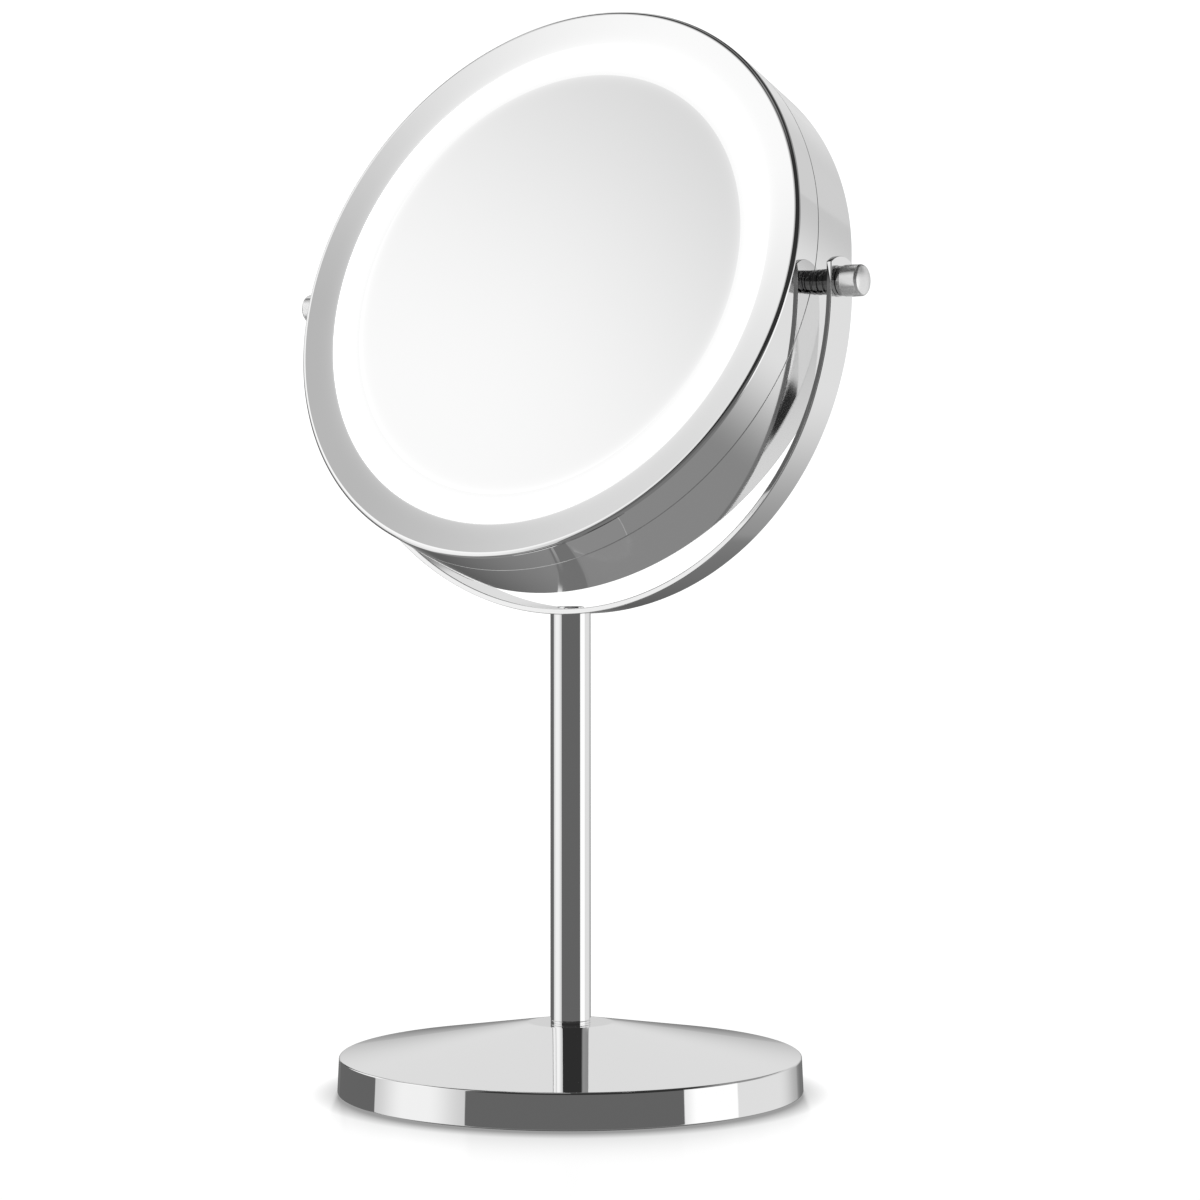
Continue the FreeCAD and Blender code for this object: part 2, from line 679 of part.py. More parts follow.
def pivot_shaft(side):
    """Hollow on the switch side, so that the spindle runs through it."""
    shoulder_in = HEAD_R + SEAT_GAP
    shoulder_out = YOKE_IN_R - SPRING_T
    groove_in = (shoulder_in + shoulder_out - SHAFT_GROOVE_W) / 2
    groove_out = groove_in + SHAFT_GROOVE_W
    body = turned(
        (0, SHAFT_ROOT_X),
        (NECK_R, SHAFT_ROOT_X, 0.4),
        (NECK_R, shoulder_in),
        (SHAFT_R, shoulder_in, 0.4),
        (SHAFT_R, groove_in, 0.4),
        (SHAFT_GROOVE_R, groove_in),
        (SHAFT_GROOVE_R, groove_out),
        (SHAFT_R, groove_out, 0.4),
        (SHAFT_R, shoulder_out, 0.4),
        (NECK_R, shoulder_out),
        (NECK_R, SHAFT_TIP_X, 0.4),
        (0, SHAFT_TIP_X),
    )
    if side > 0:
        body = body.cut(rod(SPINDLE_R + RUN_GAP, 70, 105))
    return on_pivot(body, side)


def shaft_nuts():
    top = PAD_FACE_X - 0.03
    nut = hexagon(NUT_FLATS, top - NUT_T, top).cut(rod(NECK_R + FIT_GAP, 70, 90))
    return Part.makeCompound([on_pivot(nut, -1), on_pivot(nut, 1)])


def friction_washers():
    """Spring washers that press the head's shafts against the yoke arms."""
    washer = tube(SHAFT_R, NECK_R + FIT_GAP, YOKE_IN_R - SPRING_T + 0.03, YOKE_IN_R - FREE_GAP / 2)
    return Part.makeCompound([on_pivot(washer, -1), on_pivot(washer, 1)])


def pivot_collars():
    low = YOKE_OUT_R + FREE_GAP / 2
    high = KNOB_IN_X - FREE_GAP / 2
    bore = NECK_R + FIT_GAP
    collar = turned((bore, low), (COLLAR_R, low, 0.15), (COLLAR_R, high, 0.15), (bore, high))
    return Part.makeCompound([on_pivot(collar, -1), on_pivot(collar, 1)])


def round_rim(body, which, radius):
    """Rounds the lowest (0) or highest (-1) full-width rim of a knob built along Z."""
    rims = [e for e in body.Edges if abs(e.Length - 2 * math.pi * KNOB_R) < 0.01]
    rims.sort(key=lambda e: e.CenterOfMass.z)
    return body.makeFillet(radius, [rims[which]])


def knob(side):
    """Round knob with a softened edge and a slightly domed end."""
    blank = rod(KNOB_R, KNOB_IN_X, KNOB_OUT_X)
    body = blank.common(Part.makeSphere(KNOB_DOME_R, Vector(0, 0, KNOB_OUT_X - KNOB_DOME_R)))
    body = round_rim(body, 0, 0.2)
    body = round_rim(body, -1, 1.0)
    body = body.cut(rod(NECK_R + RUN_GAP, KNOB_IN_X - 1, SHAFT_TIP_X + 0.5))
    if side > 0:
        body = body.cut(rod(SPINDLE_R, SHAFT_TIP_X, SPINDLE_TIP_X))
    return on_pivot(body, side)


def switch_spindle():
    return on_pivot(rod(SPINDLE_R, SPINDLE_ROOT_X, SPINDLE_TIP_X), 1)


# ---- rear cover -----------------------------------------------------------------------
def rear_ring():
    """Twist-off ring round the magnifying mirror, with three bayonet lugs."""
    outer = HOUSING_IN_R - 0.5
    inner = MAGNIFIER_R - 2.4
    body = turned(
        (inner, -15.0, 0.3),
        (84.6, REAR_H, 0.3),
        (outer, REAR_H, 0.6),
        (outer, -12.8),
        (84.2, -12.8),
        (84.2, LUG_TOP_H),
        (MAGNIFIER_R + 0.3, LUG_TOP_H),
        (MAGNIFIER_R + 0.3, -14.25),
        (inner, -14.25),
    )
    lug = tube(86.3, 83.4, LUG_LOW_H, LUG_TOP_H).common(sector(HEAD_R, -12, -8, 22))
    for piece in around(lug, LUG_COUNT, 22):
        body = body.fuse(piece)
    return in_head(in_drum(body.removeSplitter()))


def magnifying_mirror():
    """Concave glass: the reflecting side is hollow and looks to the rear."""
    rise = MAGNIFIER_CURVE_R - math.sqrt(MAGNIFIER_CURVE_R**2 - MAGNIFIER_R**2)
    centre_h = MAGNIFIER_EDGE_H + rise - MAGNIFIER_CURVE_R
    hollow = Part.makeSphere(MAGNIFIER_CURVE_R, Vector(0, 0, centre_h))
    back = Part.makeSphere(MAGNIFIER_CURVE_R + MAGNIFIER_T, Vector(0, 0, centre_h))
    blank = rod(MAGNIFIER_R, MAGNIFIER_EDGE_H - 1, 0)
    return in_head(in_drum(blank.common(back).cut(hollow)))


def magnifier_gasket():
    """Foam ring that presses the concave glass against its cover."""
    inner = MAGNIFIER_R - 3.5
    outer = MAGNIFIER_R + 0.1
    return in_head(in_drum(turned((inner, -11.9), (outer, -12.3), (outer, -9.9), (inner, -9.9))))


# ---- writing --------------------------------------------------------------------------
def main():
    wire_names = ("wire_battery_switch", "wire_switch_lamps", "wire_battery_lamps")
    nodes = {
        "base_pad": base_pad(),
        "base_shell": base_shell(),
        "base_weight": base_weight(),
        "base_washer": base_washer(),
        "base_bolt": base_bolt(),
        "base_spacer": base_spacer(),
        "stem_foot_ring": stem_foot_ring(),
        "stem_tube": stem_tube(),
        "stem_lower_insert": stem_insert(STEM_FOOT_Z + SEAT_GAP, INSERT_LOW_TOP_Z, BOLT_R + FIT_GAP),
        "stem_upper_insert": stem_insert(
            INSERT_HIGH_FOOT_Z, YOKE_UNDER_Z + 2, TOP_SCREW_R + FIT_GAP
        ).cut(yoke_underside()),
        "yoke": yoke(),
        "yoke_screw": yoke_screw(),
        "pivot_bush_left": pivot_bush(-1),
        "pivot_bush_right": pivot_bush(1),
        "housing": housing(),
        "front_bezel": front_bezel(),
        "inner_frame": inner_frame(),
        "frame_screws": panel_screws(BOSS_PLACE_R, 5.6),
        "tray_screws": panel_screws(INNER_BOSS_PLACE_R, 9.0),
        "centre_mirror": centre_mirror(),
        "mirror_pad": mirror_pad(),
        "light_ring": light_ring(),
        "light_tray": light_tray(),
        "led_board": led_board(),
        "leds": leds(),
        "battery_tray": battery_tray(),
        "batteries": batteries(),
        "battery_contacts": battery_contacts(),
        "switch_body": switch_body(),
        "pivot_shaft_left": pivot_shaft(-1),
        "pivot_shaft_right": pivot_shaft(1),
        "shaft_nuts": shaft_nuts(),
        "friction_washers": friction_washers(),
        "pivot_collars": pivot_collars(),
        "left_knob": knob(-1),
        "right_knob": knob(1),
        "switch_spindle": switch_spindle(),
        "rear_ring": rear_ring(),
        "magnifying_mirror": magnifying_mirror(),
        "magnifier_gasket": magnifier_gasket(),
    }
    nodes.update(zip(wire_names, wires()))
    os.makedirs("parts", exist_ok=True)
    for name, shape in nodes.items():
        shape.exportStep(f"parts/{name}.step")
        solids = len(shape.Solids)
        print(f"{name:22s} solids {solids:2d} valid {shape.isValid()} volume {shape.Volume / 1000:8.2f} cm3")


main()
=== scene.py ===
import json
import math

import bmesh
import bpy
from mathutils import Euler, Matrix, Vector

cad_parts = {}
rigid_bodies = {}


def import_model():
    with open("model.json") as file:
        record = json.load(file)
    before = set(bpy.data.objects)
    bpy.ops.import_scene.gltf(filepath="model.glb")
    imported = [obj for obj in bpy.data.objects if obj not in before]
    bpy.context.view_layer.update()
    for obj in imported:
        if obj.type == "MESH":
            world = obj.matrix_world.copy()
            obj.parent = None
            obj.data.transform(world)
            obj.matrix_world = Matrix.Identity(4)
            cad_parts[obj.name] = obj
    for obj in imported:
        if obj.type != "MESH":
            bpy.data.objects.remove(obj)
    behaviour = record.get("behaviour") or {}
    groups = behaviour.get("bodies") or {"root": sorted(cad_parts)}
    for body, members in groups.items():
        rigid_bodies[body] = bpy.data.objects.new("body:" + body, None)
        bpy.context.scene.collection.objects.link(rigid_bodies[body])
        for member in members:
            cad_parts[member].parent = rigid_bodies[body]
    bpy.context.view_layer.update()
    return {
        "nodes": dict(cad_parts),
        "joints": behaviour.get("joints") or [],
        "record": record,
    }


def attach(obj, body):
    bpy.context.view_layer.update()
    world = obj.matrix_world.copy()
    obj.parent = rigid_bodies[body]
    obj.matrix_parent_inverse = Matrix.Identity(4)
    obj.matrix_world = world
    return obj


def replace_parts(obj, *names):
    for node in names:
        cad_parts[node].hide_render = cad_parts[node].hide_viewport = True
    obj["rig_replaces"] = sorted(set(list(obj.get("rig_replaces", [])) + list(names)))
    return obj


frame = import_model()

# ---- places read from the frame -------------------------------------------------
joints = {joint["name"]: joint for joint in frame["joints"]}
HEAD_AXIS = Vector(joints["rear_cover_twist"]["axis"]).normalized()   # out of the lit face
HEAD_CENTRE = Vector(joints["rear_cover_twist"]["pos_m"])
PIVOT = Vector(joints["head_tilt"]["pos_m"])
SLOTS = {part["node"]: part["material_slot"] for part in frame["record"]["subparts"]}
BODIES = {node: body for body, nodes in frame["record"]["behaviour"]["bodies"].items() for node in nodes}

# ---- sizes in millimetres -----------------------------------------------------------
MM = 0.001
FIT_GAP = 0.02            # clearance of parts that sit tight in one another
RUN_GAP = 0.06            # clearance of a shaft in its hole
SEAT_GAP = 0.05           # clearance between parts that are stacked
FINE_EDGE_R = 0.1

HEAD_R = 88.9
FRONT_H = 16.8            # heights are along the head's axis, lit side positive
REAR_H = -15.6
SEAM_LOW_H = 5.03
SEAM_HIGH_H = 5.17
SEAM_EDGE_R = 0.15
SHELL_IN_R = 86.9         # inside of the housing
SHELL_EDGE_R = 0.7
LIP_EDGE_R = 1.3          # rounding of the bezel's outer edge
LIP_R = 87.4              # where the lip ends and the bezel's sloping face starts
FACE_DROP = 1.7
FACE_EDGE_R = 0.2
OPENING_R = 77.9          # inside edge of the bezel's sloping face
BEZEL_BACK_H = 14.5       # back of the sloping face
BEZEL_IN_R = 86.0
BEZEL_STEP_H = 7.0        # where the bezel's wall thickens towards its skirt
SKIRT_IN_R = 85.2         # the skirt reaches down into the housing
SKIRT_OUT_R = 86.6
SKIRT_HIGH_H = 6.2
SKIRT_LOW_H = 2.4
RING_IN_R = 68.3          # the lit ring
RING_OUT_R = 83.6
GLASS_H = 14.4
GLASS_T = 2.0
GLASS_GAP = 0.01          # between the mirror and the lit ring

MAGNIFIER_R = 82.0
MAGNIFIER_CURVE_R = 640.0
MAGNIFIER_EDGE_H = -14.2
MAGNIFIER_T = 1.8
REAR_LIP_IN_R = 79.6      # the rear ring's lip over the magnifying mirror
REAR_LIP_H = -15.0
REAR_LIP_OUT_R = 84.6
REAR_RING_R = 86.4
REAR_RING_EDGE_R = 0.6
REAR_EDGE_R = 0.3
REAR_FLANGE_H = -12.8
REAR_SEAT_H = -14.25      # where the magnifying mirror's edge rests
REAR_COLLAR_IN_R = 82.3   # the collar reaches forwards into the housing
REAR_COLLAR_OUT_R = 84.2
REAR_COLLAR_H = -9.6

BASE_TOP_R = 13.0
BASE_TOP_Z = 21.0
BASE_TOP_EDGE_R = 8.0     # soft rounding between the flat top and the cone
BASE_RIM_R = 70.4
BASE_RIM_Z = 11.1
BASE_RIM_EDGE_R = 0.7
BASE_FOOT_R = 70.9
BASE_FOOT_EDGE_R = 0.3
BASE_EDGE_Z = 0.5
BASE_WALL = 1.5
BOLT_HOLE_R = 3.2
FOOT_RING_IN_R = 3.1
FOOT_RING_LOW_Z = 21.02
FOOT_RING_HIGH_Z = 21.68
STEM_R = 6.15
STEM_WALL = 1.0
STEM_FOOT_Z = 21.7

YOKE_IN_R = 93.75
YOKE_T = 1.7
YOKE_W = 12.0
YOKE_CENTRE_Z = 240.75    # centre of the yoke's half circle
YOKE_TOP_RISE = 7.25      # top of each arm above the pivot
YOKE_TOP_ARC_R = 10.1
YOKE_EDGE_R = 0.3         # rounding of the strip's long edges
YOKE_END_R = 0.2          # rounding of the arms' tops
BUSH_R = 3.3
SCREW_HOLE_R = 2.1

SHAFT_ROOT_X = 80.9
SHAFT_R = 3.75
SHAFT_EDGE_R = 0.4
SHAFT_GROOVE_R = 3.3      # groove half way along the thick part
SHAFT_GROOVE_W = 0.3
SPRING_T = 0.75           # room for the spring washer beside each arm
NECK_R = 2.5
SHAFT_TIP_X = 100.4
COLLAR_R = 4.4
COLLAR_GAP = 0.15         # between a collar and its neighbours
COLLAR_EDGE_R = 0.15
KNOB_R = 4.6
KNOB_IN_X = 96.75
KNOB_IN_EDGE_R = 0.2
KNOB_OUT_X = 103.2
KNOB_RIM_R = 1.0          # rounding between the knob's side and its dome
KNOB_DOME_R = 13.6
KNOB_DOME_STEP = 0.7      # from row to row of the dome's mesh
KNOB_DOME_ROWS = 6
KNOB_BORE_X = 100.9       # bottom of the knob's bore
SPINDLE_R = 1.2
SPINDLE_TIP_X = 102.0

# ---- camera -----------------------------------------------------------------------
CAMERA_AZIMUTH = 35.28    # degrees from straight in front, towards +X
CAMERA_REACH = 0.98797    # metres from the stem's axis
CAMERA_HEIGHT = 0.16692
CAMERA_YAW = 34.76
CAMERA_PITCH = -1.007
CAMERA_LENS = 97.47       # mm on a 36 mm sensor


def add_camera():
    data = bpy.data.cameras.new("camera")
    data.lens = CAMERA_LENS
    data.sensor_width = 36.0
    data.clip_end = 50.0
    camera = bpy.data.objects.new("camera", data)
    bpy.context.scene.collection.objects.link(camera)
    azimuth = math.radians(CAMERA_AZIMUTH)
    camera.location = (
        CAMERA_REACH * math.sin(azimuth),
        -CAMERA_REACH * math.cos(azimuth),
        CAMERA_HEIGHT,
    )
    camera.rotation_euler = Euler((math.radians(90 + CAMERA_PITCH), 0, math.radians(CAMERA_YAW)))
    bpy.context.scene.camera = camera


# ---- turned pieces -------------------------------------------------------------------
SUPPORT = 0.04            # distance of the rows that keep the flats beside a rounded edge flat
ON_AXIS = 1e-6            # a smaller radius is a point on the axis


def rounded(profile, steps):
    """(radius, height[, corner radius]) corners as close-set (point, is it a sharp corner) pairs."""
    corners = [Vector(corner[:2]) for corner in profile]
    outline = []
    for i, corner in enumerate(corners):
        radius = profile[i][2] if len(profile[i]) > 2 else 0
        if not radius:
            outline.append((corner, True))
            continue
        back = (corners[i - 1] - corner).normalized()
        ahead = (corners[(i + 1) % len(corners)] - corner).normalized()
        half = back.angle(ahead) / 2
        reach = radius / math.tan(half)
        centre = corner + (back + ahead).normalized() * radius / math.sin(half)
        start = corner + back * reach - centre
        end = corner + ahead * reach - centre
        turn = math.atan2(start.cross(end), start.dot(end))
        first = math.atan2(start.y, start.x)
        outline.append((centre + start + back * SUPPORT, False))
        for k in range(steps + 1):
            angle = first + turn * k / steps
            outline.append((centre + radius * Vector((math.cos(angle), math.sin(angle))), False))
        outline.append((corner + ahead * (reach + SUPPORT), False))
    return outline


def add_turned(mesh, profile, place, segments=256, steps=8):
    """Turns a closed outline about its axis and adds it to the mesh; place takes it to the frame."""
    rings = []
    for point, is_sharp in rounded(profile, steps):
        ring = []
        for j in range(segments if point.x > ON_AXIS else 1):
            angle = 2 * math.pi * j / segments
            spot = Vector((point.x * math.cos(angle), point.x * math.sin(angle), point.y)) * MM
            ring.append(mesh.verts.new(place @ spot))
        rings.append((ring, is_sharp))
    for i, (ring, _) in enumerate(rings):
        following = rings[(i + 1) % len(rings)][0]
        for j in range(segments):
            k = (j + 1) % segments
            corners = [ring[j % len(ring)], ring[k % len(ring)]]
            corners += [following[k % len(following)], following[j % len(following)]]
            corners = list(dict.fromkeys(corners))      # a ring on the axis is a single point
            if len(corners) > 2:
                mesh.faces.new(corners)
    for ring, is_sharp in rings:
        if is_sharp and len(ring) > 1:
            for j in range(segments):
                mesh.edges.get((ring[j - 1], ring[j])).smooth = False


def finish_piece(name, mesh, *nodes):
    """Makes the object that stands for those CAD nodes, on their body; dress() gives it their slot's
    material later.
    """
    bmesh.ops.recalc_face_normals(mesh, faces=mesh.faces)
    for face in mesh.faces:
        face.smooth = True
    data = bpy.data.meshes.new(name)
    mesh.to_mesh(data)
    mesh.free()
    piece = bpy.data.objects.new(name, data)
    bpy.context.scene.collection.objects.link(piece)
    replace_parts(piece, *nodes)
    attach(piece, BODIES[nodes[0]])
    return piece


def upright():
    return Matrix.Identity(4)


def on_head():
    """From heights along the head's axis to the frame."""
    across = Vector((1, 0, 0))
    up_face = HEAD_AXIS.cross(across)
    columns = Matrix((across, up_face, HEAD_AXIS)).transposed()
    return Matrix.Translation(HEAD_CENTRE) @ columns.to_4x4()


def on_pivot(side):
    """From heights along the pivot's axis, outwards on that side, to the frame."""
    return Matrix.Translation(PIVOT) @ Matrix.Rotation(math.radians(90 * side), 4, "Y")


def turned_piece(name, profile, place, *nodes, segments=256, steps=8):
    mesh = bmesh.new()
    add_turned(mesh, profile, place, segments, steps)
    return finish_piece(name, mesh, *nodes)


def slab(in_r, out_r, low_h, high_h):
    """Outline of a flat disc or ring."""
    return ((in_r, high_h), (out_r, high_h), (out_r, low_h), (in_r, low_h))


def build_head():
    front_bezel = (
        (HEAD_R, SEAM_HIGH_H, SEAM_EDGE_R),
        (HEAD_R, FRONT_H, LIP_EDGE_R),
        (LIP_R, FRONT_H, FACE_EDGE_R),
        (OPENING_R, FRONT_H - FACE_DROP, FACE_EDGE_R),
        (OPENING_R, BEZEL_BACK_H),
        (BEZEL_IN_R, BEZEL_BACK_H),
        (BEZEL_IN_R, BEZEL_STEP_H),
        (SKIRT_IN_R, SKIRT_HIGH_H),
        (SKIRT_IN_R, SKIRT_LOW_H),
        (SKIRT_OUT_R, SKIRT_LOW_H),
        (SKIRT_OUT_R, SEAM_HIGH_H),
    )
    housing = (
        (SHELL_IN_R, SEAM_LOW_H),
        (HEAD_R, SEAM_LOW_H, SEAM_EDGE_R),
        (HEAD_R, REAR_H, SHELL_EDGE_R),
        (SHELL_IN_R, REAR_H),
    )
    rear_ring = (
        (REAR_LIP_IN_R, REAR_LIP_H, REAR_EDGE_R),
        (REAR_LIP_OUT_R, REAR_H, REAR_EDGE_R),
        (REAR_RING_R, REAR_H, REAR_RING_EDGE_R),
        (REAR_RING_R, REAR_FLANGE_H),
        (REAR_COLLAR_OUT_R, REAR_FLANGE_H),
        (REAR_COLLAR_OUT_R, REAR_COLLAR_H),
        (REAR_COLLAR_IN_R, REAR_COLLAR_H),
        (REAR_COLLAR_IN_R, REAR_SEAT_H),
        (REAR_LIP_IN_R, REAR_SEAT_H),
    )
    centre_mirror = slab(0, RING_IN_R - GLASS_GAP, GLASS_H - GLASS_T, GLASS_H)
    light_ring = slab(RING_IN_R, RING_OUT_R, GLASS_H - GLASS_T, GLASS_H)
    turned_piece("bezel", front_bezel, on_head(), "front_bezel", segments=384, steps=10)
    turned_piece("housing_shell", housing, on_head(), "housing", segments=384)
    turned_piece("rear_cover_ring", rear_ring, on_head(), "rear_ring", segments=384)
    turned_piece("mirror_glass", centre_mirror, on_head(), "centre_mirror")
    turned_piece("opal_ring", light_ring, on_head(), "light_ring")
    turned_piece("hollow_mirror", hollow_glass(), on_head(), "magnifying_mirror")


def hollow_glass(rows=24):
    """Section of the concave glass: reflecting side first, then its back."""
    rise = MAGNIFIER_CURVE_R - math.sqrt(MAGNIFIER_CURVE_R**2 - MAGNIFIER_R**2)
    centre_h = MAGNIFIER_EDGE_H + rise - MAGNIFIER_CURVE_R
    section = []
    for curve_r, order in ((MAGNIFIER_CURVE_R, 1), (MAGNIFIER_CURVE_R + MAGNIFIER_T, -1)):
        spots = [MAGNIFIER_R * i / rows for i in range(rows + 1)][::order]
        section += [(r, centre_h + math.sqrt(curve_r**2 - r * r)) for r in spots]
    return section


# ---- base and stem -----------------------------------------------------------------------
def build_base():
    roof_z = BASE_TOP_Z - BASE_WALL
    inner_r = BASE_RIM_R - BASE_WALL
    slope = (BASE_TOP_Z - BASE_RIM_Z) / (BASE_RIM_R - BASE_TOP_R)
    shell = (
        (BOLT_HOLE_R, BASE_TOP_Z),
        (BASE_TOP_R, BASE_TOP_Z, BASE_TOP_EDGE_R),
        (BASE_RIM_R, BASE_RIM_Z, BASE_RIM_EDGE_R),
        (BASE_FOOT_R, BASE_EDGE_Z, BASE_FOOT_EDGE_R),
        (BASE_FOOT_R - BASE_WALL, BASE_EDGE_Z),
        (inner_r, roof_z - slope * (inner_r - BASE_TOP_R)),
        (BASE_TOP_R, roof_z),
        (BOLT_HOLE_R, roof_z),
    )
    ring = (
        (FOOT_RING_IN_R, FOOT_RING_LOW_Z),
        (STEM_R, FOOT_RING_LOW_Z),
        (STEM_R, FOOT_RING_HIGH_Z, FINE_EDGE_R),
        (FOOT_RING_IN_R, FOOT_RING_HIGH_Z),
    )
    turned_piece("base_cover", shell, upright(), "base_shell", segments=384)
    turned_piece("foot_ring", ring, upright(), "stem_foot_ring", segments=128, steps=4)


def build_stem():
    """The tube's top is cut to the round underside of the yoke."""
    seat_r = YOKE_IN_R + YOKE_T + FIT_GAP
    top = YOKE_CENTRE_Z - seat_r
    bore = STEM_R - STEM_WALL
    tube = ((bore, STEM_FOOT_Z), (STEM_R, STEM_FOOT_Z, FINE_EDGE_R), (STEM_R, top), (bore, top))
    mesh = bmesh.new()
    add_turned(mesh, tube, upright(), segments=128, steps=4)
    for vert in mesh.verts:
        if vert.co.z > (top - 1) * MM:       # the rows at the tube's top
            vert.co.z = YOKE_CENTRE_Z * MM - math.sqrt((seat_r * MM) ** 2 - vert.co.x**2)
    finish_piece("stem", mesh, "stem_tube")


# ---- yoke ------------------------------------------------------------------------------------
HOLE_REACH = 4.2          # the mesh round a hole is a square patch of this half width
HOLE_CELLS = 6
HOLE_SPREAD = 1.013       # the hole's flat sides stay outside its circle
CURVE_ROWS = 103          # from the bottom of the U to the patch round the pivot
CROWN_ROWS = 3
EDGE_STEPS = 5            # round each edge


def yoke_spot(along, out, across):
    """A point of the strip: distance along from the bottom, out from its inner face, and across."""
    quarter = YOKE_IN_R * math.pi / 2
    radius = YOKE_IN_R + out
    if abs(along) > quarter:
        x = math.copysign(radius, along)
        z = YOKE_CENTRE_Z + abs(along) - quarter
    else:
        x = radius * math.sin(along / YOKE_IN_R)
        z = YOKE_CENTRE_Z - radius * math.cos(along / YOKE_IN_R)
    return Vector((x, across, z)) * MM


def strip_section(columns):
    """Round the strip's section as (out, across, and the outward direction) rows."""
    radius = YOKE_EDGE_R
    half = YOKE_W / 2 - radius
    wide = YOKE_T - radius
    corners = ((wide, -half, -90), (wide, half, 0), (radius, half, 90), (radius, -half, 180))
    section = []
    for i, (out, across, first) in enumerate(corners):
        for k in range(EDGE_STEPS + 1):
            angle = math.radians(first + 90 * k / EDGE_STEPS)
            c, s = math.cos(angle), math.sin(angle)
            section.append((out + radius * c, across + radius * s, c, s))
        if i == 0:
            section += [(YOKE_T, y, 1, 0) for y in columns]
        elif i == 1:
            section += [(out - SUPPORT, YOKE_W / 2, 0, 1), (radius + SUPPORT, YOKE_W / 2, 0, 1)]
        elif i == 2:
            section += [(0, y, -1, 0) for y in reversed(columns)]
        else:
            section += [(radius + SUPPORT, -YOKE_W / 2, 0, -1), (wide - SUPPORT, -YOKE_W / 2, 0, -1)]
    return section


def yoke_rows(cell):
    """Rows of one arm, bottom to top: (share of the way up the crown, distance, inset, rise)."""
    quarter = YOKE_IN_R * math.pi / 2
    patch_start = quarter + PIVOT.z / MM - YOKE_CENTRE_Z - HOLE_REACH
    rows = [(0, patch_start * k / CURVE_ROWS, 0, 0) for k in range(CURVE_ROWS + 1)]
    rows += [(0, patch_start + cell * k, 0, 0) for k in range(1, HOLE_CELLS + 1)]
    level = rows[-1][1]
    rows += [(k / CROWN_ROWS, level, 0, 0) for k in range(1, CROWN_ROWS)]
    rows.append((1, level, 0, -SUPPORT))
    for k in range(EDGE_STEPS + 1):
        angle = math.pi / 2 * k / EDGE_STEPS
        rows.append((1, level, YOKE_END_R * (1 - math.cos(angle)), YOKE_END_R * math.sin(angle)))
    return rows


def yoke_loops(mesh, section, rows):
    """Loops of points round the strip, from the left arm's top to the right arm's."""
    top_at = YOKE_IN_R * math.pi / 2 + PIVOT.z / MM + YOKE_TOP_RISE - YOKE_CENTRE_Z
    loops = []
    for side, order in ((-1, rows[:0:-1]), (1, rows)):
        for share, distance, inset, rise in order:
            loop = []
            for out, across, out_way, across_way in section:
                y = across - across_way * inset
                crown = top_at - YOKE_TOP_ARC_R + math.sqrt(YOKE_TOP_ARC_R**2 - y**2)
                along = distance + share * (crown - YOKE_END_R - distance) + rise
                loop.append(mesh.verts.new(yoke_spot(side * along, out - out_way * inset, y)))
            loops.append(loop)
    return loops


def cut_hole(mesh, loops, first_row, faces, along, radius):
    """Joins a square patch on both faces to a round hole; returns the cells that stay open."""
    half_round = [(0, j) for j in range(HOLE_CELLS)] + [(j, HOLE_CELLS) for j in range(HOLE_CELLS)]
    around = half_round + [(HOLE_CELLS - i, HOLE_CELLS - j) for i, j in half_round]
    open_cells = set()
    rims = []
    for out, column, way in faces:
        for i in range(HOLE_CELLS):
            for j in range(HOLE_CELLS):
                open_cells.add((first_row + i, column + way * j - (way < 0)))
        border = [loops[first_row + i][column + way * j] for i, j in around]
        rim = []
        for i, j in around:
            lift = Vector((i - HOLE_CELLS / 2, j - HOLE_CELLS / 2)).normalized() * radius * HOLE_SPREAD
            rim.append(mesh.verts.new(yoke_spot(along + lift.x, out, lift.y)))
        for k in range(len(border)):
            mesh.faces.new((border[k - 1], border[k], rim[k], rim[k - 1]))
        rims.append(rim)
    for k in range(len(rims[0])):
        mesh.faces.new((rims[0][k - 1], rims[0][k], rims[1][k], rims[1][k - 1]))
        for rim in rims:
            mesh.edges.get((rim[k - 1], rim[k])).smooth = False
    return open_cells


def close_end(mesh, loop, half):
    """Faces across the top of an arm, between the outer and the inner half of its last loop."""
    front = loop[:half]
    back = loop[half + 2 : 2 * half + 2][::-1]
    for i in range(half - 1):
        mesh.faces.new((front[i], front[i + 1], back[i + 1], back[i]))
    mesh.faces.new((front[0], back[0], loop[2 * half + 2], loop[2 * half + 3]))
    mesh.faces.new((front[-1], loop[half], loop[half + 1], back[-1]))


